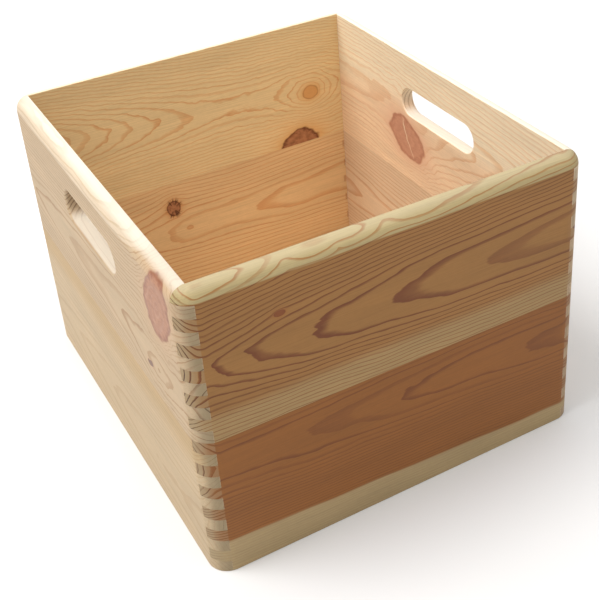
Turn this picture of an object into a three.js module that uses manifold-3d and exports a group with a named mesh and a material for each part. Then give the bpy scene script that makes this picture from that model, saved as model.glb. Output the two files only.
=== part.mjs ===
// Open-topped pine toy box. Each wall is two boards glued edge to edge, the walls meet in finger joints at the
// four corners, the two end walls have a hand hole, and a plywood floor sits in a groove near the bottom.
// Millimetres, +Z up, origin on the ground under the middle of the box. The front wall faces -Y.
import * as THREE from "three";
import { mergeVertices } from "three/addons/utils/BufferGeometryUtils.js";
import Module from "manifold-3d";

const wasm = await Module();
wasm.setup();

// Driving dimensions.
const WIDTH = 316; // outside, along X: the front and back walls
const DEPTH = 350; // outside, along Y: the end walls
const HEIGHT = 240;
const WALL = 12;
const FINGERS = 24; // fingers and sockets together, over the full height of a corner
const CORNER_RADIUS = 16; // round-over of the upright outer corners
const RIM_RADIUS = 11; // round-over of the outer top edge, which leaves a narrow flat land inside it
const HOLE_LENGTH = 106;
const HOLE_HEIGHT = 26;
const HOLE_CENTRE = 197; // height of the hand hole's middle
const HOLE_CHAMFER = 2; // softening of the hand hole's outer rim
const FLOOR_THICKNESS = 4;
const FLOOR_UNDERSIDE = 5.5; // height of the floor's underside: the groove stays below the first finger line
const GROOVE_DEPTH = 5;
const FLOOR_PLAY = 0.5; // room for the floor panel at the bottom of the groove
const GROOVE_PLAY = 0.3; // room above the floor panel in the groove

const FINGER = HEIGHT / FINGERS;
const BOARD = HEIGHT / 2; // width of one board
const TRIM = 1; // stock that the outer round-overs take off

const ARC_STEPS = 6;
const RIM_STEPS = 5;

const PINE = {
  front_upper_board: 0xb3925f,
  front_lower_board: 0x9c653a,
  back_upper_board: 0xd0934f,
  back_lower_board: 0xca8440,
  left_upper_board: 0xe2c8a8,
  left_lower_board: 0xdcbf93,
  right_upper_board: 0xecc99c,
  right_lower_board: 0xe8be92,
  floor_panel: 0xd9bd92,
};

// A closed three.js geometry as a solid that can be cut and joined.
function solid(geometry) {
  geometry.deleteAttribute("normal");
  geometry.deleteAttribute("uv");
  const merged = mergeVertices(geometry);
  const vertProperties = new Float32Array(merged.getAttribute("position").array);
  const triVerts = new Uint32Array(merged.index.array);
  return new wasm.Manifold(new wasm.Mesh({ numProp: 3, vertProperties, triVerts }));
}

function piece(name, cut) {
  const made = cut.getMesh();
  const geometry = new THREE.BufferGeometry();
  geometry.setAttribute("position", new THREE.BufferAttribute(made.vertProperties, 3));
  geometry.setIndex(new THREE.BufferAttribute(made.triVerts, 1));
  const material = new THREE.MeshStandardMaterial({ color: PINE[name], roughness: 0.6, metalness: 0 });
  const mesh = new THREE.Mesh(geometry, material);
  mesh.name = name;
  return mesh;
}

// The outline of the box seen from above, with its rounded corners.
function footprint() {
  const x = WIDTH / 2 - CORNER_RADIUS;
  const y = DEPTH / 2 - CORNER_RADIUS;
  const quarter = Math.PI / 2;
  const shape = new THREE.Shape();
  shape.absarc(x, y, CORNER_RADIUS, 0, quarter);
  shape.absarc(-x, y, CORNER_RADIUS, quarter, 2 * quarter);
  shape.absarc(-x, -y, CORNER_RADIUS, 2 * quarter, 3 * quarter);
  shape.absarc(x, -y, CORNER_RADIUS, 3 * quarter, 4 * quarter);
  shape.closePath();
  return shape;
}

// The outer shape that all four walls are rounded to. Its lower bevel lies below the ground and cuts nothing.
function roundedBlock() {
  const geometry = new THREE.ExtrudeGeometry(footprint(), {
    depth: HEIGHT,
    curveSegments: ARC_STEPS,
    bevelSegments: RIM_STEPS,
    bevelThickness: RIM_RADIUS,
    bevelSize: RIM_RADIUS,
    bevelOffset: -RIM_RADIUS,
  });
  return solid(geometry.translate(0, 0, -RIM_RADIUS));
}

// One board seen square on: straight edges below and above, fingers and sockets at both ends.
function boardOutline(length, bottom, startsWithFinger) {
  const count = BOARD / FINGER;
  const top = bottom + BOARD;
  const over = top === HEIGHT ? TRIM : 0;
  const steps = [];
  for (let i = 0; i < count; i += 1) {
    const isFinger = (i % 2 === 0) === startsWithFinger;
    const reach = isFinger ? length / 2 + TRIM : length / 2 - WALL;
    const from = bottom + i * FINGER;
    const to = i === count - 1 ? top + over : from + FINGER;
    steps.push([reach, from], [reach, to]);
  }
  const left = steps.map(([reach, z]) => [-reach, z]).reverse();
  return new THREE.Shape([...steps, ...left].map(([u, z]) => new THREE.Vector2(u, z)));
}

function boardBlank(length, bottom, startsWithFinger) {
  const outline = boardOutline(length, bottom, startsWithFinger);
  return new THREE.ExtrudeGeometry(outline, { depth: WALL + TRIM, bevelEnabled: false });
}

// A blank drawn flat, stood up so that it runs along X and its outer face looks along side (-1 front, 1 back).
function alongX(geometry, side) {
  geometry.rotateX(Math.PI / 2);
  const outer = side < 0 ? WALL - DEPTH / 2 : DEPTH / 2 + TRIM;
  return geometry.translate(0, outer, 0);
}

// The same for a blank that runs along Y, with its outer face looking along side (-1 left, 1 right).
function alongY(geometry, side) {
  geometry.rotateX(Math.PI / 2).rotateZ(Math.PI / 2);
  const inner = side < 0 ? -WIDTH / 2 - TRIM : WIDTH / 2 - WALL;
  return geometry.translate(inner, 0, 0);
}

function stadium() {
  const radius = HOLE_HEIGHT / 2;
  const reach = HOLE_LENGTH / 2 - radius;
  const shape = new THREE.Shape();
  shape.absarc(reach, HOLE_CENTRE, radius, -Math.PI / 2, Math.PI / 2);
  shape.absarc(-reach, HOLE_CENTRE, radius, Math.PI / 2, 1.5 * Math.PI);
  shape.closePath();
  return shape;
}

// What the router takes out for a hand hole: a straight passage, and a flare at the outer face.
function handHole(side) {
  const passage = new THREE.ExtrudeGeometry(stadium(), {
    depth: WALL + 2 * TRIM,
    curveSegments: ARC_STEPS,
    bevelEnabled: false,
  });
  passage.translate(0, 0, -WALL - TRIM);
  const flare = new THREE.ExtrudeGeometry(stadium(), {
    depth: 2 * TRIM,
    curveSegments: ARC_STEPS,
    bevelSegments: 1,
    bevelThickness: HOLE_CHAMFER,
    bevelSize: HOLE_CHAMFER,
  });
  const turned = [passage, flare].map((geometry) => {
    geometry.rotateX(Math.PI / 2).rotateZ(Math.PI / 2);
    geometry.translate(WIDTH / 2, 0, 0);
    return side < 0 ? geometry.scale(-1, 1, 1) : geometry;
  });
  return turned.map((geometry) => solid(side < 0 ? flipped(geometry) : geometry)).reduce((a, b) => a.add(b));
}

// Turns every triangle round, after a mirror.
function flipped(geometry) {
  const plain = geometry.index ? geometry.toNonIndexed() : geometry;
  const position = plain.getAttribute("position");
  const turned = new Float32Array(position.count * 3);
  for (let i = 0; i < position.count; i += 3)
    [0, 2, 1].forEach((from, to) =>
      turned.set([position.getX(i + from), position.getY(i + from), position.getZ(i + from)], (i + to) * 3),
    );
  return new THREE.BufferGeometry().setAttribute("position", new THREE.BufferAttribute(turned, 3));
}

function slab(width, depth, bottom, thickness) {
  return solid(new THREE.BoxGeometry(width, depth, thickness).translate(0, 0, bottom + thickness / 2));
}

// The groove that holds the floor: it runs out into the first socket at each end of the front and back boards, and
// stops inside the first fingers of the end walls.
function floorGroove() {
  const x = WIDTH - 2 * WALL + 2 * GROOVE_DEPTH;
  const y = DEPTH - 2 * WALL + 2 * GROOVE_DEPTH;
  return slab(x, y, FLOOR_UNDERSIDE, FLOOR_THICKNESS + GROOVE_PLAY);
}

function floorPanel() {
  const x = WIDTH - 2 * WALL + 2 * (GROOVE_DEPTH - FLOOR_PLAY);
  const y = DEPTH - 2 * WALL + 2 * (GROOVE_DEPTH - FLOOR_PLAY);
  return piece("floor_panel", slab(x, y, FLOOR_UNDERSIDE, FLOOR_THICKNESS));
}

// Both boards of a wall. Fingers start at the ground on the end walls, and one step up on front and back.
function wall(name, place, length, side, startsWithFinger, cuts) {
  const group = new THREE.Group();
  for (const [level, bottom] of [["lower", 0], ["upper", BOARD]]) {
    const blank = solid(place(boardBlank(length, bottom, startsWithFinger), side));
    const made = cuts.reduce((board, cut) => board.subtract(cut), blank.intersect(roundedBlock()));
    group.add(piece(`${name}_${level}_board`, made));
  }
  return group;
}

const groove = floorGroove();
const box = new THREE.Group();
box.add(wall("front", alongX, WIDTH, -1, false, [groove]));
box.add(wall("back", alongX, WIDTH, 1, false, [groove]));
box.add(wall("left", alongY, DEPTH, -1, true, [groove, handHole(-1)]));
box.add(wall("right", alongY, DEPTH, 1, true, [groove, handHole(1)]));
box.add(floorPanel());

export default box;
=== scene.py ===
"""Open-topped toy box of solid pine, with finger-jointed corners, two hand holes and a plywood floor.

Metres, +Z up, the front wall faces -Y. Each wall is two boards glued edge to edge. Each board is its own
piece, cut out of one rounded block, because a joiner glues the walls up first and then rounds them as one.
The grain is solid: growth rings lie round a pith line in each board, and every face is a cut through them.
"""
import math

import bmesh
import bpy
from bpy.props import (
    CollectionProperty,
    FloatProperty,
    FloatVectorProperty,
    IntProperty,
    PointerProperty,
)
from mathutils import Matrix, Vector


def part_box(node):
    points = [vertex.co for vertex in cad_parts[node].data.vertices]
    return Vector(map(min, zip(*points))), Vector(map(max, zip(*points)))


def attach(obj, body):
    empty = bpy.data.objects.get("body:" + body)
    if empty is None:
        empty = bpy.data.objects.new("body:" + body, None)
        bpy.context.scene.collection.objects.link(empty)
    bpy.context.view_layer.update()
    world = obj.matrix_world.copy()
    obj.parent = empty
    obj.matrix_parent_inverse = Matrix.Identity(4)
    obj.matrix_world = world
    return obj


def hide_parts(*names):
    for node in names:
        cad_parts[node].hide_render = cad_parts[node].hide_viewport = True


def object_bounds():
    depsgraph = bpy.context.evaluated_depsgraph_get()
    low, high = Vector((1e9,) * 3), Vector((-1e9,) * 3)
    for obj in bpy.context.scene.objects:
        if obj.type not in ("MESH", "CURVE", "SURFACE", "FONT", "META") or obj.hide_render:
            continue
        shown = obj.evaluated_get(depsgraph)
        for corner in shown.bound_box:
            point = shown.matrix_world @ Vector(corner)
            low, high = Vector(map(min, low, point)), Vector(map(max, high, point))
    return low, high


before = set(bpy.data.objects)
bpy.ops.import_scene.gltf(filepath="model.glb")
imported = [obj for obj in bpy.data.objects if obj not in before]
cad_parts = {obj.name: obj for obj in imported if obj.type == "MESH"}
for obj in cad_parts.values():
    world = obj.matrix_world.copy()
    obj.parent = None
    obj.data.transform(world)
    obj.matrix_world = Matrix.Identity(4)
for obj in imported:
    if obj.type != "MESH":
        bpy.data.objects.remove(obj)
cad_low, cad_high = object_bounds()

bl_info = {
    "name": "Pine Toy Box",
    "version": (1, 0, 0),
    "blender": (4, 5, 0),
    "location": "3D View > Sidebar > Toy Box",
    "description": "Builds a finger-jointed pine toy box with its wood grain",
    "category": "Object",
}

MM = 0.001
BODY = "root"
HALF_X = cad_high.x
HALF_Y = cad_high.y
HEIGHT = cad_high.z
GLUE_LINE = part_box("front_lower_board")[1].z
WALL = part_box("front_upper_board")[1].y + HALF_Y
INNER_X = HALF_X - WALL
INNER_Y = HALF_Y - WALL
FLOOR_LOW, FLOOR_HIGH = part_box("floor_panel")
FINGERS = 24  # fingers and sockets together, up a corner; the end walls start with a finger
FINGER = HEIGHT / FINGERS
SPARE = 1 * MM  # stock left outside the block before it is rounded
RIM_STEPS = 8  # facets in the round-over of a hand hole's rim

# The finger cutter ran a little past its socket into the lower boards of the front and back walls.
OVERCUT_WIDTH = 2.8 * MM
OVERCUT_DEPTH = 0.35 * MM

# The side of the box that each wall stands on, the axis that its boards run along, and which of its faces
# the grain is laid out on: the one that shows best.
WALLS = {
    "front": {"side": -1, "along": "x", "shown": "outer"},
    "back": {"side": 1, "along": "x", "shown": "inner"},
    "left": {"side": -1, "along": "y", "shown": "outer"},
    "right": {"side": 1, "along": "y", "shown": "inner"},
}
LEVELS = ("lower", "upper")


# ---------------------------------------------------------------------------------------------- settings

def colour_property(name, description):
    """A colour as the eye sees it. Its default is set board by board, from BOARDS."""
    return FloatVectorProperty(
        name=name,
        description=description,
        subtype="COLOR_GAMMA",
        size=3,
        min=0.0,
        max=1.0,
        default=(0.8, 0.6, 0.4),
    )


def length_property(name, description, millimetres):
    """A length with its default in millimetres."""
    return FloatProperty(name=name, description=description, default=millimetres * MM, unit="LENGTH")


class BoardWood(bpy.types.PropertyGroup):
    """The colours of one board."""

    sapwood: colour_property("Sapwood", "Soft early wood near the bark")
    sapwood_ring: colour_property("Sapwood ring", "Hard late wood near the bark")
    heartwood: colour_property("Heartwood", "Soft early wood near the pith")
    heartwood_ring: colour_property("Heartwood ring", "Hard late wood near the pith")
    knot: colour_property("Knot", "Middle of a knot")
    knot_rim: colour_property("Knot rim", "Bark and resin round a knot")
    halo: colour_property("Halo", "Stained wood just outside a knot")


class ToyBoxSettings(bpy.types.PropertyGroup):
    """Sizes that shape the box's edges and joints, and the wood of its boards."""

    corner_radius: length_property("Corner radius", "Round-over of the upright outer corners", 16)
    rim_radius: length_property("Rim radius", "Round-over of the outer top edge", 11)
    arris: length_property("Arris", "Softening of the inner top edge and the bottom edges", 0.4)
    joint_gap: length_property("Joint gap", "Hairline left at each glued face", 0.04)
    hole_length: length_property("Hole length", "Length of a hand hole", 106)
    hole_height: length_property("Hole height", "Height of a hand hole", 26)
    hole_centre: length_property("Hole centre", "Height of a hand hole's middle above the ground", 197)
    hole_round: length_property("Hole round-over", "Round-over of a hand hole's outer rim", 2.6)
    arc_steps: IntProperty(
        name="Arc steps",
        description="Facets in a quarter turn",
        default=16,
        min=4,
    )
    boards: CollectionProperty(type=BoardWood)


def settings():
    """The sizes and colours that the panel shows."""
    return bpy.context.scene.toy_box


# ------------------------------------------------------------------------------------------ mesh helpers

def new_piece(name, mesh_data):
    """An object of a bmesh, which is freed."""
    bmesh.ops.recalc_face_normals(mesh_data, faces=mesh_data.faces)
    mesh = bpy.data.meshes.new(name)
    mesh_data.to_mesh(mesh)
    mesh_data.free()
    piece = bpy.data.objects.new(name, mesh)
    bpy.context.scene.collection.objects.link(piece)
    return piece


def loft(name, rings):
    """A closed solid through rings of points that all have the same count, with a flat cap at each end."""
    made = bmesh.new()
    levels = [[made.verts.new(point) for point in ring] for ring in rings]
    count = len(levels[0])
    for low, high in zip(levels, levels[1:]):
        for i in range(count):
            j = (i + 1) % count
            made.faces.new((low[i], low[j], high[j], high[i]))
    made.faces.new(list(reversed(levels[0])))
    made.faces.new(levels[-1])
    return new_piece(name, made)


def settle(piece):
    """Applies the modifiers, so that the mesh holds its final shape."""
    depsgraph = bpy.context.evaluated_depsgraph_get()
    shape = bpy.data.meshes.new_from_object(piece.evaluated_get(depsgraph))
    piece.modifiers.clear()
    piece.data = shape


def carve(piece, operation, tool):
    """Cuts piece with tool, or keeps only what they share."""
    cut = piece.modifiers.new(operation.title(), "BOOLEAN")
    cut.operation = operation
    cut.solver = "EXACT"
    cut.object = tool
    settle(piece)


def discard(tools):
    """Throws the cutting tools away."""
    for tool in tools:
        bpy.data.objects.remove(tool)


def finish_surface(piece):
    """Merges what the cuts left over, and shades curves smooth and flats flat, with crisp edges between."""
    made = bmesh.new()
    made.from_mesh(piece.data)
    bmesh.ops.remove_doubles(made, verts=made.verts, dist=1e-6)
    bmesh.ops.dissolve_degenerate(made, edges=made.edges, dist=1e-6)
    bmesh.ops.triangulate(made, faces=[face for face in made.faces if len(face.verts) > 4])
    for face in made.faces:
        face.smooth = True
    for edge in made.edges:
        edge.smooth = edge.calc_face_angle(0.0) < math.radians(28)
    made.to_mesh(piece.data)
    made.free()
    weighted = piece.modifiers.new("Weighted Normal", "WEIGHTED_NORMAL")
    weighted.keep_sharp = True
    settle(piece)


# ---------------------------------------------------------------------------------------------- geometry

def rounded_level(z, inset, steps):
    """The outside of the box at one height, from above, drawn in by inset."""
    radius = settings().corner_radius
    ring = []
    for quarter, (sx, sy) in enumerate(((1, 1), (-1, 1), (-1, -1), (1, -1))):
        centre = Vector((sx * (HALF_X - radius), sy * (HALF_Y - radius), z))
        for step in range(steps + 1):
            angle = math.radians(90 * (quarter + step / steps))
            out = max(radius - inset, 0.2 * MM)
            ring.append(centre + out * Vector((math.cos(angle), math.sin(angle), 0)))
    return ring


def rounded_block():
    """The box's outer shape as one solid block: every board is cut out of it."""
    box = settings()
    steps = box.arc_steps
    levels = [(0.0, box.arris), (box.arris, 0.0)]
    for step in range(steps + 1):
        angle = math.radians(90 * step / steps)
        height = HEIGHT - box.rim_radius * (1 - math.sin(angle))
        levels.append((height, box.rim_radius * (1 - math.cos(angle))))
    return loft("rounded_block", [rounded_level(z, inset, steps) for z, inset in levels])


def square_level(half_x, half_y, z):
    """A rectangle round the middle of the box at one height."""
    corners = ((1, 1), (-1, 1), (-1, -1), (1, -1))
    return [Vector((sx * half_x, sy * half_y, z)) for sx, sy in corners]


def arris_plane(level, outward):
    """A square funnel that takes the sharpness off the inner edge of every wall at one height."""
    arris = settings().arris
    reach = 2 * MM
    rings = []
    for offset in (-reach, reach):
        size = arris + offset
        rings.append(square_level(INNER_X + size, INNER_Y + size, level + outward * offset))
    return loft("arris_plane", rings if outward > 0 else list(reversed(rings)))


def board_outline(half_length, bottom, starts_with_finger):
    """One board square on, as (along, height) points, with fingers and sockets at both ends."""
    gap = settings().joint_gap
    count = round(GLUE_LINE / FINGER)
    top = bottom + GLUE_LINE
    right = []
    for i in range(count):
        is_finger = (i % 2 == 0) == starts_with_finger
        reach = half_length + SPARE if is_finger else half_length - WALL - gap
        inwards = gap if is_finger else -gap
        low = bottom + i * FINGER + inwards
        high = bottom + (i + 1) * FINGER - inwards
        if i == 0:
            low = bottom + (gap if bottom > 0 else -SPARE)
        if i == count - 1:
            high = top - gap if top < HEIGHT - SPARE else top + SPARE
        right += [(reach, low), (reach, high)]
    return right + [(-along, height) for along, height in reversed(right)]


def board_blank(wall, level):
    """A sawn board with its fingers, still square, with a little stock to spare outside."""
    facts = WALLS[wall]
    runs_along_x = facts["along"] == "x"
    half_length = HALF_X if runs_along_x else HALF_Y
    half_width = HALF_Y if runs_along_x else HALF_X
    bottom = GLUE_LINE if level == "upper" else 0.0
    outline = board_outline(half_length, bottom, not runs_along_x)
    rings = []
    for depth in (half_width - WALL, half_width + SPARE):
        across = facts["side"] * depth
        if runs_along_x:
            rings.append([Vector((u, across, z)) for u, z in outline])
        else:
            rings.append([Vector((across, u, z)) for u, z in outline])
    return loft(f"{wall}_{level}_board", rings)


def stadium(half_straight, radius, x, z, steps):
    """The outline of a hand hole at one depth."""
    ring = []
    for end in (1, -1):
        for step in range(2 * steps + 1):
            angle = math.radians(-90 + 180 * step / (2 * steps))
            y = end * (half_straight + radius * math.cos(angle))
            ring.append(Vector((x, y, z + end * radius * math.sin(angle))))
    return ring


def hand_hole_cutter(side):
    """What the router takes out of an end wall: a straight passage with a rounded outer rim."""
    box = settings()
    radius = box.hole_height / 2
    half_straight = box.hole_length / 2 - radius
    profile = [(-SPARE, 0.8 * MM), (0.0, 0.45 * MM), (0.45 * MM, 0.0)]
    for step in range(RIM_STEPS + 1):
        angle = math.radians(90 * step / RIM_STEPS)
        depth = WALL - box.hole_round * (1 - math.sin(angle))
        profile.append((depth, box.hole_round * (1 - math.cos(angle))))
    profile.append((WALL + SPARE, box.hole_round + 0.6 * MM))
    rings = []
    for depth, flare in profile:
        x = side * (INNER_X + depth)
        rings.append(stadium(half_straight, radius + flare, x, box.hole_centre, box.arc_steps))
    return loft("hand_hole_cutter", rings)


def overcut_comb(wall, end):
    """Shallow, uneven nicks beside the sockets, at one end of a lower board's inner face."""
    side = WALLS[wall]["side"]
    inner = side * INNER_Y
    nicks = []
    for i in range(2, round(GLUE_LINE / FINGER), 2):
        unevenness = math.sin(2.1 * i + end)
        low = i * FINGER + (1.5 + unevenness) * MM
        high = (i + 1) * FINGER - (1.2 - unevenness) * MM
        width = OVERCUT_WIDTH * (0.75 + 0.25 * unevenness)
        rings = []
        for x in sorted((end * (INNER_X - width), end * (INNER_X + SPARE))):
            ring = []
            for across, z in ((-SPARE, low), (OVERCUT_DEPTH, low), (OVERCUT_DEPTH, high), (-SPARE, high)):
                ring.append(Vector((x, inner + side * across, z)))
            rings.append(ring)
        nicks.append(loft("overcut_nick", rings))
    return nicks


def floor_groove():
    """The slot that the floor panel slides into, a little wider and higher than the panel."""
    play, headroom = 0.5 * MM, 0.3 * MM
    rings = []
    for z in (FLOOR_LOW.z, FLOOR_HIGH.z + headroom):
        rings.append(square_level(FLOOR_HIGH.x + play, FLOOR_HIGH.y + play, z))
    return loft("floor_groove", rings)


def floor_blank():
    """The plywood sheet, with its sawn edges a little rounded."""
    ease = 0.3 * MM
    thickness = FLOOR_HIGH.z - FLOOR_LOW.z
    levels = ((0.0, ease), (ease, 0.0), (thickness - ease, 0.0), (thickness, ease))
    rings = []
    for height, inset in levels:
        size = (FLOOR_HIGH.x - inset, FLOOR_HIGH.y - inset)
        rings.append(square_level(*size, FLOOR_LOW.z + height))
    return loft("floor_panel_made", rings)


def cut_board(wall, level):
    """One finished board."""
    board = board_blank(wall, level)
    tools = [rounded_block()]
    carve(board, "INTERSECT", tools[0])
    cuts = []
    if level == "upper":
        cuts.append(arris_plane(HEIGHT, 1))
        if WALLS[wall]["along"] == "y":
            cuts.append(hand_hole_cutter(WALLS[wall]["side"]))
    else:
        cuts.append(arris_plane(0.0, -1))
        cuts.append(floor_groove())
        if WALLS[wall]["along"] == "x":
            cuts += overcut_comb(wall, -1) + overcut_comb(wall, 1)
    for tool in cuts:
        carve(board, "DIFFERENCE", tool)
    discard(tools + cuts)
    finish_surface(board)
    return board


# ------------------------------------------------------------------------------------------ node helpers

class Wire:
    """A number on its way through a node tree, so that formulas can be written as they are read."""

    def __init__(self, tree, socket):
        self.tree = tree
        self.socket = socket

    def worked_out(self, operation, numbers):
        node = self.tree.nodes.new("ShaderNodeMath")
        node.operation = operation
        for slot, value in zip(node.inputs, numbers):
            plug(self.tree, value, slot)
        return Wire(self.tree, node.outputs[0])

    def math(self, operation, *others):
        return self.worked_out(operation, (self, *others))

    def __add__(self, other):
        return self.math("ADD", other)

    def __sub__(self, other):
        return self.math("SUBTRACT", other)

    def __mul__(self, other):
        return self.math("MULTIPLY", other)

    def __truediv__(self, other):
        return self.math("DIVIDE", other)

    def __neg__(self):
        return self * -1.0

    def __rsub__(self, other):
        return self.worked_out("SUBTRACT", (other, self))

    def __rtruediv__(self, other):
        return self.worked_out("DIVIDE", (other, self))

    __radd__ = __add__

    def root(self):
        return self.math("SQRT")

    def decay(self):
        """One at zero, falling towards none as the number grows."""
        return (-self).math("EXPONENT")

    def clamp(self):
        return self.math("MAXIMUM", 0.0).math("MINIMUM", 1.0)

    def step(self, low, high):
        """Rises smoothly from none at low to one at high."""
        node = self.tree.nodes.new("ShaderNodeMapRange")
        node.interpolation_type = "SMOOTHSTEP"
        plug(self.tree, self, node.inputs["Value"])
        plug(self.tree, low, node.inputs["From Min"])
        plug(self.tree, high, node.inputs["From Max"])
        return Wire(self.tree, node.outputs["Result"])


def plug(tree, value, slot):
    """Links a wire or a socket to a slot, or sets the slot to a plain number or colour."""
    if isinstance(value, Wire):
        tree.links.new(value.socket, slot)
    elif isinstance(value, bpy.types.NodeSocket):
        tree.links.new(value, slot)
    else:
        slot.default_value = value


def blended(tree, share, first, second):
    """The socket of a colour mix."""
    node = tree.nodes.new("ShaderNodeMix")
    node.data_type = "RGBA"
    node.clamp_factor = True
    plug(tree, share, node.inputs[0])
    plug(tree, first, node.inputs[6])
    plug(tree, second, node.inputs[7])
    return node.outputs[2]


def toned(tree, colour, tone):
    """A colour made lighter or darker by a factor."""
    node = tree.nodes.new("ShaderNodeVectorMath")
    node.operation = "SCALE"
    plug(tree, colour, node.inputs[0])
    plug(tree, tone, node.inputs["Scale"])
    return node.outputs[0]


def vector_of(tree, x, y, z):
    node = tree.nodes.new("ShaderNodeCombineXYZ")
    for slot, value in zip(node.inputs, (x, y, z)):
        plug(tree, value, slot)
    return node.outputs[0]


def split(tree, vector):
    """The X, Y and Z of a vector, as wires."""
    node = tree.nodes.new("ShaderNodeSeparateXYZ")
    plug(tree, vector, node.inputs[0])
    return [Wire(tree, slot) for slot in node.outputs]


def millimetres(tree, coordinates):
    """Where a point lies on its piece, along X, Y and Z."""
    return [wire / MM for wire in split(tree, coordinates.outputs["Object"])]


def noise(tree, place, detail=2.0, roughness=0.5):
    """A noise texture's three channels as wires, each centred on none and reaching about one."""
    node = tree.nodes.new("ShaderNodeTexNoise")
    node.inputs["Scale"].default_value = 1.0
    node.inputs["Detail"].default_value = detail
    node.inputs["Roughness"].default_value = roughness
    plug(tree, place, node.inputs["Vector"])
    channels = tree.nodes.new("ShaderNodeSeparateColor")
    plug(tree, node.outputs["Color"], channels.inputs[0])
    return [(Wire(tree, slot) - 0.5) * 2.0 for slot in channels.outputs]


def grain_noise(tree, given, along, across, detail=2.0, roughness=0.5):
    """Noise drawn out along the grain, with so many waves in a millimetre along and across it."""
    place = vector_of(
        tree, given["Along"] * along + given["Seed"], given["Across"] * across, given["Depth"] * across
    )
    return noise(tree, place, detail, roughness)[0]


def new_group(name, inputs, outputs):
    """A node group and its input wires. A default of four numbers, or the name Colour, makes a colour."""
    tree = bpy.data.node_groups.new(name, "ShaderNodeTree")
    for label, default in inputs.items():
        kind = "NodeSocketColor" if isinstance(default, tuple) else "NodeSocketFloat"
        slot = tree.interface.new_socket(label, in_out="INPUT", socket_type=kind)
        slot.default_value = default
    for label in outputs:
        kind = "NodeSocketColor" if label == "Colour" else "NodeSocketFloat"
        tree.interface.new_socket(label, in_out="OUTPUT", socket_type=kind)
    source = tree.nodes.new("NodeGroupInput")
    return tree, {slot.name: Wire(tree, slot) for slot in source.outputs if slot.name}


def close_group(tree, results):
    """Connects a group's results to its outputs."""
    sink = tree.nodes.new("NodeGroupOutput")
    for label, value in results.items():
        plug(tree, value, sink.inputs[label])


def use_group(tree, name, values):
    """Places a group in a tree. Returns its outputs as wires by name."""
    node = tree.nodes.new("ShaderNodeGroup")
    node.node_tree = bpy.data.node_groups[name]
    for label, value in values.items():
        plug(tree, value, node.inputs[label])
    return {slot.name: Wire(tree, slot) for slot in node.outputs}


# ---------------------------------------------------------------------------------------- shared effects

FAR = 9.0  # knot radii: away from every knot
DUST = (0.60, 0.50, 0.37)  # rubbed into open pores
NICK_BRUISE_AND_SHADE = (0.62, 0.36, 0.22)  # reddish bruise from the cutter, with painted shade, in the nicks beside the sockets
PAINTED_TOP_HIGHLIGHT = (0.90, 0.88, 0.83)  # painted highlight: the pale tone that upward faces are mixed towards, for the light they catch
CRACK = (0.30, 0.15, 0.09)  # bark and resin in a knot's cracks
RUB = 0.35  # how much dust stays on wood that isn't end grain


def linear(colour):
    """A colour as the eye sees it, as light."""
    channels = [c / 12.92 if c <= 0.04045 else ((c + 0.055) / 1.055) ** 2.4 for c in colour]
    return (*channels, 1.0)


def make_knot_group():
    """A branch that crosses the board: the grain parts round it, and the growth rings swell over it.

    A board has one such group after another. The inputs from Across to Pale carry what the earlier ones did.
    """
    tree, given = new_group(
        "Knot",
        {
            "Along": 0.0,
            "Across": 0.0,
            "Swell": 0.0,
            "Core": 0.0,
            "Core distance": FAR,
            "Crack": 0.0,
            "Pale": 0.0,
            "At along": 0.0,
            "At across": 0.0,
            "Radius": 5.0,
            "Stretch": 1.0,
            "Tilt": 0.0,
            "Bend": 1.0,
            "Swell height": 3.0,
            "Swell reach": 10.0,
            "Hard": 1.0,
            "Spokes": 0.0,
            "Seam": 0.0,
            "Dark": 0.0,
            "Light": 0.0,
        },
        ("Across", "Swell", "Core", "Core distance", "Crack", "Pale"),
    )
    along = given["Along"] - given["At along"]
    across = given["Across"] - given["At across"]
    wobble = noise(tree, vector_of(tree, along * 0.07, across * 0.09, given["Radius"]))
    turn = given["Tilt"].math("RADIANS")
    cosine, sine = turn.math("COSINE"), turn.math("SINE")
    long_way = (along * cosine + across * sine) / given["Stretch"]
    short_way = across * cosine - along * sine
    reach = (long_way * long_way + short_way * short_way + 0.01).root()
    # Cracks: spokes all round the knot's edge, and one seam across it.
    spread = vector_of(tree, long_way * 1.1 / reach, short_way * 1.1 / reach, given["Radius"])
    spoke = 1.0 - noise(tree, spread)[0].math("ABSOLUTE").step(0.01, 0.05)
    seam = 1.0 - (along - across * 0.5 + wobble[1] * 6.0).math("ABSOLUTE").step(0.25, 0.9)
    reach = reach * (1.0 + wobble[0] * 0.24)
    ratio = reach / given["Radius"]
    # The grain is drawn aside more the closer it comes, and the rings are lifted over the branch.
    parting = (1.0 / (ratio * ratio + 0.0001)).math("MINIMUM", 1.0)
    bent = given["Across"] - across * parting * given["Bend"]
    swell = given["Swell"] + given["Swell height"] * (reach / given["Swell reach"]).decay()
    inside = (1.0 - ratio.step(0.93, 1.07)) * given["Hard"]
    near = ratio + given["Hard"].math("LESS_THAN", 0.01) * FAR
    spoke = spoke * ratio.step(0.2, 0.6) * (1.0 - ratio.step(0.9, 1.5)) * given["Spokes"]
    seam = seam * (1.0 - ratio.step(0.6, 0.95)) * given["Seam"]
    close_group(
        tree,
        {
            "Across": bent,
            "Swell": swell,
            "Core": given["Core"].math("MAXIMUM", inside),
            "Core distance": given["Core distance"].math("MINIMUM", near),
            "Crack": given["Crack"].math("MAXIMUM", spoke + seam + inside * given["Dark"]),
            "Pale": given["Pale"].math("MAXIMUM", inside * given["Light"]),
        },
    )


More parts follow.
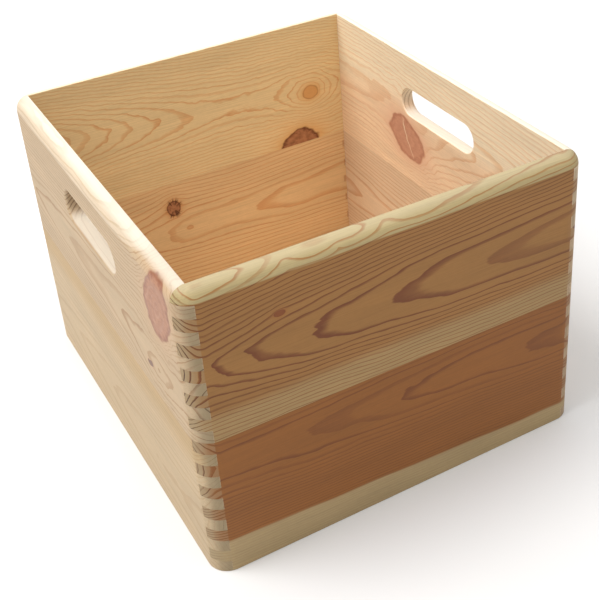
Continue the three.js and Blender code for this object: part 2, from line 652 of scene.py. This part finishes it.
def make_ring_group():
    """Growth rings round a pith line that may slope through the board: wide near it, narrow further out."""
    tree, given = new_group(
        "Growth rings",
        {
            "Along": 0.0,
            "Across": 0.0,
            "Depth": 0.0,
            "Swell": 0.0,
            "Pith across": 0.0,
            "Pith depth": 30.0,
            "Rise across": 0.0,
            "Rise depth": -0.1,
            "Inner spacing": 10.0,
            "Outer spacing": 3.2,
            "Change radius": 30.0,
            "Wander": 4.0,
            "Wander length": 90.0,
            "Seed": 0.0,
        },
        ("Latewood", "Line"),
    )
    along, across, depth = given["Along"], given["Across"], given["Depth"]
    length = given["Wander length"]
    broad_place = vector_of(
        tree, along / length + given["Seed"], across * 3.0 / length, depth * 3.0 / length
    )
    broad = noise(tree, broad_place, 1.0)
    ripple_place = vector_of(tree, along * 0.035, across * 0.11 + given["Seed"], depth * 0.11)
    ripple = noise(tree, ripple_place)
    dv = across + broad[0] * given["Wander"] - given["Pith across"] - given["Rise across"] * along
    dw = depth + broad[1] * given["Wander"] - given["Pith depth"] - given["Rise depth"] * along
    radius = (dv * dv + dw * dw + 0.5).root()
    radius = radius + ripple[0] * given["Wander"] * 0.26 - given["Swell"]
    # Counting outwards from the pith, the rings come faster past the change.
    past = radius - given["Change radius"]
    ramp = ((past * past + 25.0).root() + past) * 0.5
    inner, outer = 1.0 / given["Inner spacing"], 1.0 / given["Outer spacing"]
    count = radius * inner + ramp * (outer - inner)
    year = count.math("FLOOR")
    age = count - year
    # Every year has its own luck: when its late wood starts, and how dark it gets before the crisp edge.
    shade = tree.nodes.new("ShaderNodeTexWhiteNoise")
    shade.noise_dimensions = "1D"
    plug(tree, year + given["Seed"], shade.inputs["W"])
    luck = Wire(tree, shade.outputs["Value"])
    start = 0.52 + luck * 0.22
    late = age.step(start, start + 0.17) * (1.0 - age.step(0.96, 1.0))
    line = age.step(start + 0.15, 0.94) * (1.0 - age.step(0.965, 1.0))
    close_group(
        tree,
        {"Latewood": late * (0.45 + luck * 0.55), "Line": line * (0.5 + luck * 0.5)},
    )


def make_fibre_group():
    """Fine streaks, resin ducts and broad clouds of tone that run with the grain."""
    tree, given = new_group(
        "Fibre",
        {"Along": 0.0, "Across": 0.0, "Depth": 0.0, "Seed": 0.0},
        ("Streak", "Duct", "Cloud", "Mottle"),
    )
    close_group(
        tree,
        {
            "Streak": grain_noise(tree, given, 0.02, 1.1, 4.0, 0.6),
            "Duct": grain_noise(tree, given, 0.13, 4.0, 1.0).step(0.45, 0.75),
            "Cloud": grain_noise(tree, given, 0.009, 0.05),
            "Mottle": grain_noise(tree, given, 0.2, 0.28, 4.0, 0.6),
        },
    )


def make_heart_group():
    """Where the darker heartwood lies: a band across the board, with a hard or a soft edge on each side."""
    tree, given = new_group(
        "Heartwood",
        {
            "Along": 0.0,
            "Across": 0.0,
            "Depth": 0.0,
            "From": 0.0,
            "From softness": 2.0,
            "To": 240.0,
            "To softness": 2.0,
            "Drift": 2.0,
            "Rise": 0.0,
            "Stain": 0.0,
        },
        ("Heart",),
    )
    place = vector_of(tree, given["Along"] * 0.011, given["Across"] * 0.04, given["Depth"] * 0.08)
    drift = noise(tree, place, 1.5)
    across = given["Across"] + drift[0] * given["Drift"] - given["Rise"] * given["Along"]
    start = across.step(
        given["From"] - given["From softness"], given["From"] + given["From softness"]
    )
    stop = across.step(given["To"] - given["To softness"], given["To"] + given["To softness"])
    stained = given["Stain"] + start * (1.0 - given["Stain"])
    close_group(tree, {"Heart": stained * (1.0 - stop)})


def make_corner_group():
    """Where the corners were sanded and dust fills the pores, and the cutter's nicks inside, tinted with a
    bruise and painted shade.
    """
    tree, given = new_group("Corner dust and nick shade", {"X": 0.0, "Y": 0.0, "Z": 0.0}, ("Dust", "Nick bruise and shade"))
    x, y, z = given["X"].math("ABSOLUTE"), given["Y"].math("ABSOLUTE"), given["Z"]
    inner_x, inner_y, top, glue_line = (size / MM for size in (INNER_X, INNER_Y, HEIGHT, GLUE_LINE))
    corner = x.step(inner_x - 0.3, inner_x + 0.6) * y.step(inner_y - 0.3, inner_y + 0.6)
    below_rim = 1.0 - z.step(top - 14.0, top - 6.0)
    patchy = noise(tree, vector_of(tree, x * 0.25, y * 0.25, z * 0.12), 3.0)[0]
    dust = corner * below_rim * (0.9 + patchy * 0.35)
    nick_end = inner_x - OVERCUT_WIDTH / MM
    nick = x.step(nick_end - 0.2, nick_end + 0.1) * (1.0 - x.step(inner_x, inner_x + 0.3))
    just_inside = y.step(inner_y + 0.1, inner_y + 0.3) * (1.0 - y.step(inner_y + 1.0, inner_y + 1.2))
    lower_board = 1.0 - z.step(glue_line - 0.5, glue_line)
    close_group(tree, {"Dust": dust.clamp(), "Nick bruise and shade": just_inside * nick * lower_board})


def clear_wood(tree, given, ring):
    """Early and late wood away from knots, with the tone of its fibres. End grain soaks up light."""
    early = blended(tree, given["Heart"], given["Sapwood"], given["Heartwood"])
    late = blended(tree, given["Heart"], given["Sapwood ring"], given["Heartwood ring"])
    tone = 1.0 + given["Streak"] * 0.26 + given["Cloud"] * 0.13 - given["Duct"] * 0.16
    tone = tone + given["Mottle"] * 0.07
    tone = tone - given["End grain"] * (0.04 + ring * 0.62 + given["Mottle"] * 0.15)
    return toned(tree, blended(tree, ring.clamp(), early, late), tone)


def knotty_wood(tree, given, ring, clear):
    """Adds the stain round the knots, the knots with their own fine rings and dark rim, and their cracks."""
    distance = given["Core distance"]
    halo = ((distance - 1.0) * 2.2).math("MAXIMUM", 0.0).decay() * 0.75
    stained = blended(tree, halo * (1.0 - ring * 0.5), clear, given["Halo"])
    knot_rings = (distance * 15.0 + given["Mottle"] * 5.0).math("SINE") * 0.08
    edge = distance.step(0.74, 0.99)
    shade = 0.25 + knot_rings + given["Mottle"] * 0.9 + given["Streak"] * 0.2 + edge * 0.6
    core = blended(tree, shade.clamp(), given["Knot"], given["Knot rim"])
    core = blended(tree, given["Pale"] * (1.0 - edge * 0.35), core, given["Halo"])
    colour = blended(tree, given["Core"], stained, core)
    return blended(tree, given["Crack"] * 0.85, colour, given["Crack colour"])


def dust_and_painted_light(tree, given, ring, colour):
    """Adds a painted highlight on upward faces, the sander's dust in the corners, and the cutter's nicks
    with their bruise and painted shade.
    """
    # Painted highlight: faces that look up are mixed towards a pale tone, for the light they catch.
    colour = blended(tree, given["Painted top highlight"], colour, linear(PAINTED_TOP_HIGHLIGHT))
    end_rub = given["End grain"] * (0.95 - given["Rub"])
    dusty = given["Dust"] * (given["Rub"] + end_rub - ring * 1.05)
    colour = blended(tree, dusty.clamp(), colour, given["Dust colour"])
    # Painted shade, with a reddish bruise, in the cutter's nicks: darker than their shallow recess makes
    # them.
    return blended(tree, given["Nick bruise and shade"] * 0.4, colour, linear(NICK_BRUISE_AND_SHADE))


def make_finish_group():
    """Puts rings, fibres, knots and end grain together as sanded, unvarnished pine."""
    tree, given = new_group(
        "Pine finish",
        {
            "Latewood": 0.0,
            "Line": 0.0,
            "Heart": 0.0,
            "Streak": 0.0,
            "Duct": 0.0,
            "Cloud": 0.0,
            "Mottle": 0.0,
            "End grain": 0.0,
            "Dust": 0.0,
            "Core": 0.0,
            "Core distance": FAR,
            "Crack": 0.0,
            "Pale": 0.0,
            "Nick bruise and shade": 0.0,
            "Painted top highlight": 0.0,
            "Rub": RUB,
            "Contrast": 1.0,
            "Sapwood": (0.8, 0.7, 0.5, 1.0),
            "Sapwood ring": (0.7, 0.5, 0.3, 1.0),
            "Heartwood": (0.6, 0.4, 0.2, 1.0),
            "Heartwood ring": (0.5, 0.3, 0.1, 1.0),
            "Knot": (0.3, 0.1, 0.1, 1.0),
            "Knot rim": (0.1, 0.05, 0.02, 1.0),
            "Halo": (0.6, 0.3, 0.2, 1.0),
            "Crack colour": (0.2, 0.1, 0.05, 1.0),
            "Dust colour": (0.4, 0.3, 0.2, 1.0),
        },
        ("Colour", "Roughness", "Height"),
    )
    ring = (given["Latewood"] * 0.9 + given["Line"] * 0.35) * given["Contrast"]
    clear = clear_wood(tree, given, ring)
    colour = dust_and_painted_light(tree, given, ring, knotty_wood(tree, given, ring, clear))
    rough = 0.6 - ring * 0.1 + given["Streak"] * 0.05 + given["Duct"] * 0.1 - given["Core"] * 0.15
    height = ring * 0.5 + given["Streak"] * 0.3 - given["Duct"] * 0.4 + given["Core"] * 0.6
    height = height - given["Crack"]
    close_group(tree, {"Colour": colour, "Roughness": rough.clamp(), "Height": height})


def make_shared_effects():
    for make in (
        make_knot_group,
        make_ring_group,
        make_fibre_group,
        make_heart_group,
        make_corner_group,
        make_finish_group,
    ):
        make()


# ------------------------------------------------------------------------------------------ the boards

def socket_name(name):
    """A plain name as a socket has it."""
    return name.capitalize().replace("_", " ")


def knot(along, across, radius, swell, **more):
    """A knot on a board's better face, in millimetres. Swell is how high and how wide it lifts the rings."""
    values = {"at_along": along, "at_across": across, "radius": radius, **more}
    values["swell_height"], values["swell_reach"] = swell
    return {socket_name(name): value for name, value in values.items()}


def swelling(along, across, height, reach, stretch=1.0):
    """A place where the rings bulge over a branch that never reached the face."""
    return knot(along, across, reach, (height, reach), stretch=stretch, bend=0.0, hard=0.0)


def growth(pith, rise, spacing, change, wander, seed):
    """Growth rings: the pith's place and slope, the ring widths either side of a change, and the wander.

    The places and slopes are (across, depth), the widths (near the pith, further out), and the wander
    (how much, how long).
    """
    return {
        "Pith across": pith[0],
        "Pith depth": pith[1],
        "Rise across": rise[0],
        "Rise depth": rise[1],
        "Inner spacing": spacing[0],
        "Outer spacing": spacing[1],
        "Change radius": change,
        "Wander": wander[0],
        "Wander length": wander[1],
        "Seed": seed,
    }


def one_wood(early, late):
    """The same colours from bark to pith, with no heartwood to be seen."""
    return {
        "sapwood": early,
        "sapwood_ring": late,
        "heartwood": early,
        "heartwood_ring": late,
        "heart": {"From": 0, "To": 0},
    }


DARK_KNOT = {"knot": (0.68, 0.46, 0.31), "knot_rim": (0.38, 0.19, 0.10), "halo": (0.76, 0.52, 0.30)}
PINK_KNOT = {"knot": (0.69, 0.49, 0.365), "knot_rim": (0.56, 0.35, 0.25), "halo": (0.78, 0.65, 0.52)}

# Grain, in millimetres. Across is the height above the ground, and depth runs inwards from the face that
# shows best. The painted highlight sets how much paler the upward faces are painted, for the light they
# catch, and rub how much dust the corners keep.
BOARDS = {
    "front_upper": {
        "sapwood": (0.695, 0.62, 0.445),
        "sapwood_ring": (0.62, 0.45, 0.26),
        "heartwood": (0.60, 0.425, 0.225),
        "heartwood_ring": (0.44, 0.23, 0.085),
        "knot": (0.53, 0.31, 0.14),
        "knot_rim": (0.38, 0.19, 0.09),
        "halo": (0.60, 0.38, 0.18),
        "crack_colour": (0.50, 0.26, 0.09),
        "dust": (0.64, 0.56, 0.43),
        "painted_top_highlight": 0.12,
        "rings": growth(
            pith=(180, 23), rise=(0.02, -0.1), spacing=(8.5, 2.7), change=31, wander=(4, 110), seed=3
        ),
        "heart": {
            "From": 141, "From softness": 6, "To": 230.5, "To softness": 0.7, "Drift": 1.5, "Stain": 0.55
        },
        "knots": [
            knot(-91, 202, 2.4, (2.0, 6.0), stretch=1.8, bend=0.8, hard=0.85, dark=0.9),
            swelling(-83, 236, 4.0, 7.0, 2.0),
            swelling(-8, 237, 4.0, 7.0, 2.2),
            swelling(-45, 234, 2.0, 5.0, 1.5),
        ],
    },
    "front_lower": {
        "sapwood": (0.67, 0.58, 0.42),
        "sapwood_ring": (0.63, 0.50, 0.34),
        "heartwood": (0.56, 0.35, 0.15),
        "heartwood_ring": (0.43, 0.22, 0.06),
        **DARK_KNOT,
        "dust": (0.64, 0.56, 0.43),
        "rings": growth(
            pith=(92, 26), rise=(-0.03, -0.035), spacing=(3.8, 2.3), change=36, wander=(3.5, 130), seed=11
        ),
        "heart": {"From": 22.5, "From softness": 1.5, "To": 200.0, "Drift": 3.0, "Rise": -0.045},
        "contrast": 0.7,
        "knots": [],
    },
    "back_upper": {
        **one_wood((0.87, 0.76, 0.56), (0.79, 0.51, 0.27)),
        **DARK_KNOT,
        "halo": (0.84, 0.62, 0.36),
        "painted_top_highlight": 0.6,
        "rings": growth(
            pith=(179, 37), rise=(-0.08, 0.06), spacing=(2.9, 2.4), change=46, wander=(2.5, 110), seed=5
        ),
        "contrast": 0.55,
        "knots": [
            swelling(-150, 186, 16.0, 45.0, 1.5),
            knot(113, 170, 7.0, (22.0, 26.0), stretch=1.15, bend=0.5, hard=0.8, light=1.0),
            knot(99, 119, 16.5, (6.0, 12.0), stretch=1.2, tilt=8.0, bend=0.8),
        ],
    },
    "back_lower": {
        **one_wood((0.84, 0.70, 0.51), (0.74, 0.46, 0.23)),
        **DARK_KNOT,
        "rings": growth(
            pith=(68, 26), rise=(0, -0.06), spacing=(6, 3.6), change=26, wander=(4, 100), seed=8
        ),
        "contrast": 0.62,
        "knots": [
            knot(-37, 94, 8.0, (5.0, 9.0), stretch=0.85, bend=0.9, spokes=1.0),
            swelling(-24, 71, 6.5, 12.0, 1.5),
        ],
    },
    "left_upper": {
        "sapwood": (0.81, 0.735, 0.635),
        "sapwood_ring": (0.73, 0.635, 0.51),
        "heartwood": (0.75, 0.655, 0.53),
        "heartwood_ring": (0.635, 0.49, 0.335),
        **PINK_KNOT,
        "dust": (0.575, 0.505, 0.38),
        "rub": 0.08,
        "painted_top_highlight": 0.55,
        "rings": growth(
            pith=(160, 30), rise=(0, 0.04), spacing=(7, 2.6), change=34, wander=(3.5, 100), seed=14
        ),
        "heart": {"From": 100.0, "From softness": 1.0, "To": 230.0, "To softness": 1.2, "Drift": 1.5},
        "contrast": 0.85,
        "knots": [
            knot(-136, 210, 29.0, (14.0, 22.0), stretch=0.7, tilt=26.0, bend=0.9),
            knot(-101, 152, 2.4, (2.0, 6.0), stretch=2.2, tilt=-15.0, bend=0.8, dark=0.8),
            swelling(-118, 158, 11.0, 20.0),
        ],
    },
    "left_lower": {
        "sapwood": (0.75, 0.66, 0.53),
        "sapwood_ring": (0.68, 0.56, 0.41),
        "heartwood": (0.74, 0.63, 0.47),
        "heartwood_ring": (0.66, 0.51, 0.32),
        **PINK_KNOT,
        "dust": (0.575, 0.505, 0.38),
        "rub": 0.08,
        "rings": growth(
            pith=(40, 60), rise=(0, 0.03), spacing=(6, 2.8), change=40, wander=(3, 120), seed=17
        ),
        "heart": {"From": 99.0, "From softness": 12.0, "To": 200.0, "Drift": 9.0},
        "contrast": 0.65,
        "knots": [],
    },
    "right_upper": {
        "sapwood": (0.95, 0.885, 0.765),
        "sapwood_ring": (0.88, 0.69, 0.48),
        "heartwood": (0.925, 0.81, 0.675),
        "heartwood_ring": (0.83, 0.62, 0.45),
        "knot": (0.79, 0.585, 0.48),
        "knot_rim": (0.70, 0.48, 0.385),
        "halo": (0.88, 0.69, 0.57),
        "crack_colour": (0.93, 0.84, 0.72),
        "painted_top_highlight": 0.7,
        "rings": growth(
            pith=(182, 40), rise=(0, -0.06), spacing=(4.8, 3), change=34, wander=(3, 100), seed=21
        ),
        "heart": {"From": 0.0, "To": 185.0, "To softness": 14.0},
        "contrast": 0.55,
        "knots": [
            knot(46, 160, 17.5, (16.0, 20.0), stretch=1.6, tilt=20.0, bend=0.9, seam=1.0),
        ],
    },
    "right_lower": {
        **one_wood((0.85, 0.745, 0.625), (0.75, 0.55, 0.40)),
        **PINK_KNOT,
        "rings": growth(
            pith=(62, 30), rise=(0, -0.05), spacing=(6, 3), change=32, wander=(3, 110), seed=27
        ),
        "contrast": 0.7,
        "knots": [],
    },
}
COLOUR_SLOTS = ("sapwood", "sapwood_ring", "heartwood", "heartwood_ring", "knot", "knot_rim", "halo")


def fill_in_woods():
    """Gives every board its colours in the settings."""
    boards = settings().boards
    boards.clear()
    for name, facts in BOARDS.items():
        wood = boards.add()
        wood.name = name
        for slot in COLOUR_SLOTS:
            setattr(wood, slot, facts[slot])


def grain_place(tree, wall, x, y, z):
    """Distances in millimetres along the grain, across it and into the board."""
    facts = WALLS[wall]
    runs_along_x = facts["along"] == "x"
    along, through = (x, y) if runs_along_x else (y, x)
    half = (HALF_Y if runs_along_x else HALF_X) / MM
    face = half if facts["shown"] == "outer" else half - WALL / MM
    inwards = -facts["side"] if facts["shown"] == "outer" else facts["side"]
    depth = (through - facts["side"] * face) * inwards
    return {"Along": along, "Across": z, "Depth": depth}


def face_marks(tree, coordinates, facts, runs_along_x):
    """How far a face is end grain, and how strongly it gets the painted highlight, because it looks up."""
    facing = split(tree, coordinates.outputs["Normal"])
    end = facing[0 if runs_along_x else 1].math("ABSOLUTE").step(0.45, 0.95)
    upward = facing[2].step(0.55, 1.0)
    # Painted highlight: faces that look up get more of it, for the light that falls on them.
    return {"End grain": end, "Painted top highlight": upward * facts.get("painted_top_highlight", 0.0)}


def wood_colours(name):
    """A board's colours from the settings, named as the finish names them."""
    wood = settings().boards[name]
    return {socket_name(slot): linear(getattr(wood, slot)) for slot in COLOUR_SLOTS}


def board_material(name, wall):
    """The wood of one board."""
    facts = BOARDS[name]
    material = bpy.data.materials.new(f"pine_{name}")
    material.use_nodes = True
    tree = material.node_tree
    shader = tree.nodes["Principled BSDF"]
    coordinates = tree.nodes.new("ShaderNodeTexCoord")
    x, y, z = millimetres(tree, coordinates)
    place = grain_place(tree, wall, x, y, z)
    knots = {"Across": z, "Swell": 0.0, "Core": 0.0, "Core distance": FAR, "Crack": 0.0, "Pale": 0.0}
    for values in facts["knots"]:
        knots = use_group(tree, "Knot", {"Along": place["Along"], **knots, **values})
    bent = {**place, "Across": knots["Across"]}
    finish = use_group(
        tree,
        "Pine finish",
        {
            **use_group(tree, "Growth rings", {**bent, "Swell": knots["Swell"], **facts["rings"]}),
            **use_group(tree, "Heartwood", {**bent, **facts["heart"]}),
            **use_group(tree, "Fibre", {**place, "Seed": facts["rings"]["Seed"]}),
            **use_group(tree, "Corner dust and nick shade", {"X": x, "Y": y, "Z": z}),
            **face_marks(tree, coordinates, facts, WALLS[wall]["along"] == "x"),
            **{mark: knots[mark] for mark in ("Core", "Core distance", "Crack", "Pale")},
            **wood_colours(name),
            "Crack colour": linear(facts.get("crack_colour", CRACK)),
            "Dust colour": linear(facts.get("dust", DUST)),
            "Rub": facts.get("rub", RUB),
            "Contrast": facts.get("contrast", 1.0),
        },
    )
    plug(tree, finish["Colour"], shader.inputs["Base Color"])
    plug(tree, finish["Roughness"], shader.inputs["Roughness"])
    shader.inputs["Specular IOR Level"].default_value = 0.35
    relief(tree, finish["Height"], 0.12 * MM, shader)
    return material


def relief(tree, height, distance, shader):
    """Bump from a height, into a shader's normal."""
    bump = tree.nodes.new("ShaderNodeBump")
    bump.inputs["Strength"].default_value = 0.5
    bump.inputs["Distance"].default_value = distance
    plug(tree, height, bump.inputs["Height"])
    plug(tree, bump.outputs[0], shader.inputs["Normal"])


BIRCH = (0.86, 0.75, 0.58)
BIRCH_FIGURE = (0.80, 0.66, 0.47)


def plywood_material():
    """Peeled birch veneer: a faint broad figure with short fine flecks."""
    material = bpy.data.materials.new("plywood")
    material.use_nodes = True
    tree = material.node_tree
    shader = tree.nodes["Principled BSDF"]
    x, y, z = millimetres(tree, tree.nodes.new("ShaderNodeTexCoord"))
    fibre = use_group(tree, "Fibre", {"Along": y, "Across": x, "Depth": z, "Seed": 31.0})
    sheet = noise(tree, vector_of(tree, x * 0.02, y * 0.004, z * 0.5), 3.0)[0]
    figure = (sheet * 9.0).math("SINE") * 0.5 + 0.5
    colour = blended(tree, figure * 0.5, linear(BIRCH), linear(BIRCH_FIGURE))
    tone = 1.0 + fibre["Streak"] * 0.12 + fibre["Cloud"] * 0.08 - fibre["Duct"] * 0.15
    plug(tree, toned(tree, colour, tone), shader.inputs["Base Color"])
    plug(tree, 0.55 + fibre["Streak"] * 0.06, shader.inputs["Roughness"])
    relief(tree, fibre["Streak"] * 0.5 - fibre["Duct"] * 0.5, 0.08 * MM, shader)
    return material


# ---------------------------------------------------------------------------------------------- operators

def place_piece(piece, node, material):
    """Makes a finished piece stand for its CAD node."""
    piece.data.materials.clear()
    piece.data.materials.append(material)
    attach(piece, BODY)
    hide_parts(node)


def build_wall(wall):
    """Both boards of a wall, each in its own wood."""
    for level in LEVELS:
        board = cut_board(wall, level)
        board.name = f"{wall}_{level}_pine_board"
        node = f"{wall}_{level}_board"
        material = board_material(f"{wall}_{level}", wall)
        place_piece(board, node, material)


class TOYBOX_OT_effects(bpy.types.Operator):
    """Make the node groups that the woods share, and fill in the boards' colours"""

    bl_idname = "toybox.effects"
    bl_label = "Shared Effects"

    def execute(self, context):
        make_shared_effects()
        fill_in_woods()
        return {"FINISHED"}


class TOYBOX_OT_long_walls(bpy.types.Operator):
    """Build the four boards of the front and back walls"""

    bl_idname = "toybox.long_walls"
    bl_label = "Front and Back"

    def execute(self, context):
        for wall in ("front", "back"):
            build_wall(wall)
        return {"FINISHED"}


class TOYBOX_OT_end_walls(bpy.types.Operator):
    """Build the four boards of the end walls, with their hand holes"""

    bl_idname = "toybox.end_walls"
    bl_label = "End Walls"

    def execute(self, context):
        for wall in ("left", "right"):
            build_wall(wall)
        return {"FINISHED"}


class TOYBOX_OT_floor(bpy.types.Operator):
    """Build the plywood floor that sits in the walls' groove"""

    bl_idname = "toybox.floor"
    bl_label = "Floor Panel"

    def execute(self, context):
        panel = floor_blank()
        finish_surface(panel)
        panel.name = "plywood_floor"
        place_piece(panel, "floor_panel", plywood_material())
        return {"FINISHED"}


class TOYBOX_OT_stage(bpy.types.Operator):
    """Set up the pale floor, the soft light and the camera"""

    bl_idname = "toybox.stage"
    bl_label = "Stage"

    def execute(self, context):
        make_ground()
        make_light()
        make_camera()
        return {"FINISHED"}


# --------------------------------------------------------------------------------------------- the stage

GROUND_RADIUS = 12.0
GROUND_SIDES = 64
SKY_TOP = 1.05
SKY_HORIZON = 0.14
KEY_PLACE = (-2.3, 0.6, 4.3)
KEY_SIZE = 2.6
KEY_POWER = 175.0
FILL_POWER = 98.0
FILL_DISTANCE = 2.5  # from the middle of the back wall
CAMERA_PLACE = (-0.3309, -0.7173, 0.6312)
CAMERA_TURN = 27.88  # degrees from looking along +Y, towards +X
CAMERA_DIP = 31.02  # degrees below the horizon
CAMERA_ROLL = -3.72


def make_ground():
    """A wide pale floor."""
    ring = []
    for step in range(GROUND_SIDES):
        angle = math.radians(360 * step / GROUND_SIDES)
        ring.append((GROUND_RADIUS * math.cos(angle), GROUND_RADIUS * math.sin(angle), 0.0))
    made = bmesh.new()
    made.faces.new([made.verts.new(point) for point in ring])
    ground = new_piece("ground", made)
    material = bpy.data.materials.new("ground")
    material.use_nodes = True
    shader = material.node_tree.nodes["Principled BSDF"]
    shader.inputs["Base Color"].default_value = (0.8, 0.8, 0.8, 1.0)
    shader.inputs["Roughness"].default_value = 0.9
    shader.inputs["Specular IOR Level"].default_value = 0.1
    ground.data.materials.append(material)


def make_surround():
    """A white surround: bright overhead, dimmer towards the horizon, and plain white behind the box."""
    world = bpy.data.worlds.new("studio")
    bpy.context.scene.world = world
    world.use_nodes = True
    tree = world.node_tree
    sky = tree.nodes["Background"]
    sky.inputs["Color"].default_value = (1.0, 1.0, 1.0, 1.0)
    up = split(tree, tree.nodes.new("ShaderNodeTexCoord").outputs["Generated"])[2]
    dome = up.step(-0.1, 0.9) * (SKY_TOP - SKY_HORIZON) + SKY_HORIZON
    seen = Wire(tree, tree.nodes.new("ShaderNodeLightPath").outputs["Is Camera Ray"])
    plug(tree, dome + seen * (1.0 - dome), sky.inputs["Strength"])


def hang_lamp(lamp, place, aim):
    """Puts a lamp in its place, looking along aim."""
    holder = bpy.data.objects.new(lamp.name, lamp)
    holder.location = place
    holder.rotation_euler = aim.to_track_quat("-Z", "Y").to_euler()
    bpy.context.scene.collection.objects.link(holder)


def make_key():
    """A large soft lamp high on the left, a little behind."""
    lamp = bpy.data.lights.new("key", "AREA")
    lamp.shape = "SQUARE"
    lamp.size = KEY_SIZE
    lamp.energy = KEY_POWER
    lamp.color = (1.0, 0.985, 0.965)
    hang_lamp(lamp, KEY_PLACE, Vector((0, 0, HEIGHT / 2)) - Vector(KEY_PLACE))


def make_inner_fill():
    """A soft narrow lamp over the front rim that lights the inside of the box and little else."""
    lamp = bpy.data.lights.new("inner_fill", "SPOT")
    lamp.energy = FILL_POWER
    lamp.spot_size = math.radians(12.5)
    lamp.spot_blend = 0.7
    lamp.shadow_soft_size = 0.12
    aim = Vector((0.0, 0.5, -0.87)).normalized()
    hang_lamp(lamp, Vector((0.0, INNER_Y, HEIGHT * 0.6)) - FILL_DISTANCE * aim, aim)


def make_light():
    """The studio: the surround, the main lamp and the fill."""
    make_surround()
    make_key()
    make_inner_fill()
    bpy.context.scene.view_settings.view_transform = "Standard"


def make_camera():
    """A short telephoto view from the front left and above, framed a little off its axis."""
    lens = bpy.data.cameras.new("camera")
    lens.lens = 68.9
    lens.sensor_width = 36.0
    lens.shift_x = -0.065
    lens.shift_y = -0.15
    camera = bpy.data.objects.new("camera", lens)
    heading = Matrix.Rotation(math.radians(-CAMERA_TURN), 4, "Z")
    tilt = Matrix.Rotation(math.radians(90 - CAMERA_DIP), 4, "X")
    roll = Matrix.Rotation(math.radians(CAMERA_ROLL), 4, "Z")
    camera.matrix_world = Matrix.Translation(CAMERA_PLACE) @ heading @ tilt @ roll
    bpy.context.scene.collection.objects.link(camera)
    bpy.context.scene.camera = camera


# ---------------------------------------------------------------------------------------------- the panel

class TOYBOX_PT_panel(bpy.types.Panel):
    """The box's sizes, its boards' colours, and a button for each group of pieces"""

    bl_idname = "TOYBOX_PT_panel"
    bl_label = "Pine Toy Box"
    bl_space_type = "VIEW_3D"
    bl_region_type = "UI"
    bl_category = "Toy Box"

    def draw(self, context):
        box = context.scene.toy_box
        sizes = self.layout.column(align=True)
        for name in SIZES:
            sizes.prop(box, name)
        for wood in box.boards:
            colours = self.layout.row(align=True)
            colours.label(text=wood.name)
            for slot in COLOUR_SLOTS:
                colours.prop(wood, slot, text="")
        for step in STEPS:
            self.layout.operator(step.bl_idname)


SIZES = (
    "corner_radius",
    "rim_radius",
    "arris",
    "joint_gap",
    "hole_length",
    "hole_height",
    "hole_centre",
    "hole_round",
    "arc_steps",
)
STEPS = (
    TOYBOX_OT_stage,
    TOYBOX_OT_effects,
    TOYBOX_OT_long_walls,
    TOYBOX_OT_end_walls,
    TOYBOX_OT_floor,
)
CLASSES = (BoardWood, ToyBoxSettings, *STEPS, TOYBOX_PT_panel)


def register():
    for kind in CLASSES:
        bpy.utils.register_class(kind)
    bpy.types.Scene.toy_box = PointerProperty(type=ToyBoxSettings)


def unregister():
    del bpy.types.Scene.toy_box
    for kind in reversed(CLASSES):
        bpy.utils.unregister_class(kind)


def main():
    register()
    bpy.ops.toybox.stage()
    bpy.ops.toybox.effects()
    bpy.ops.toybox.long_walls()
    bpy.ops.toybox.end_walls()
    bpy.ops.toybox.floor()


if __name__ == "__main__":
    main()
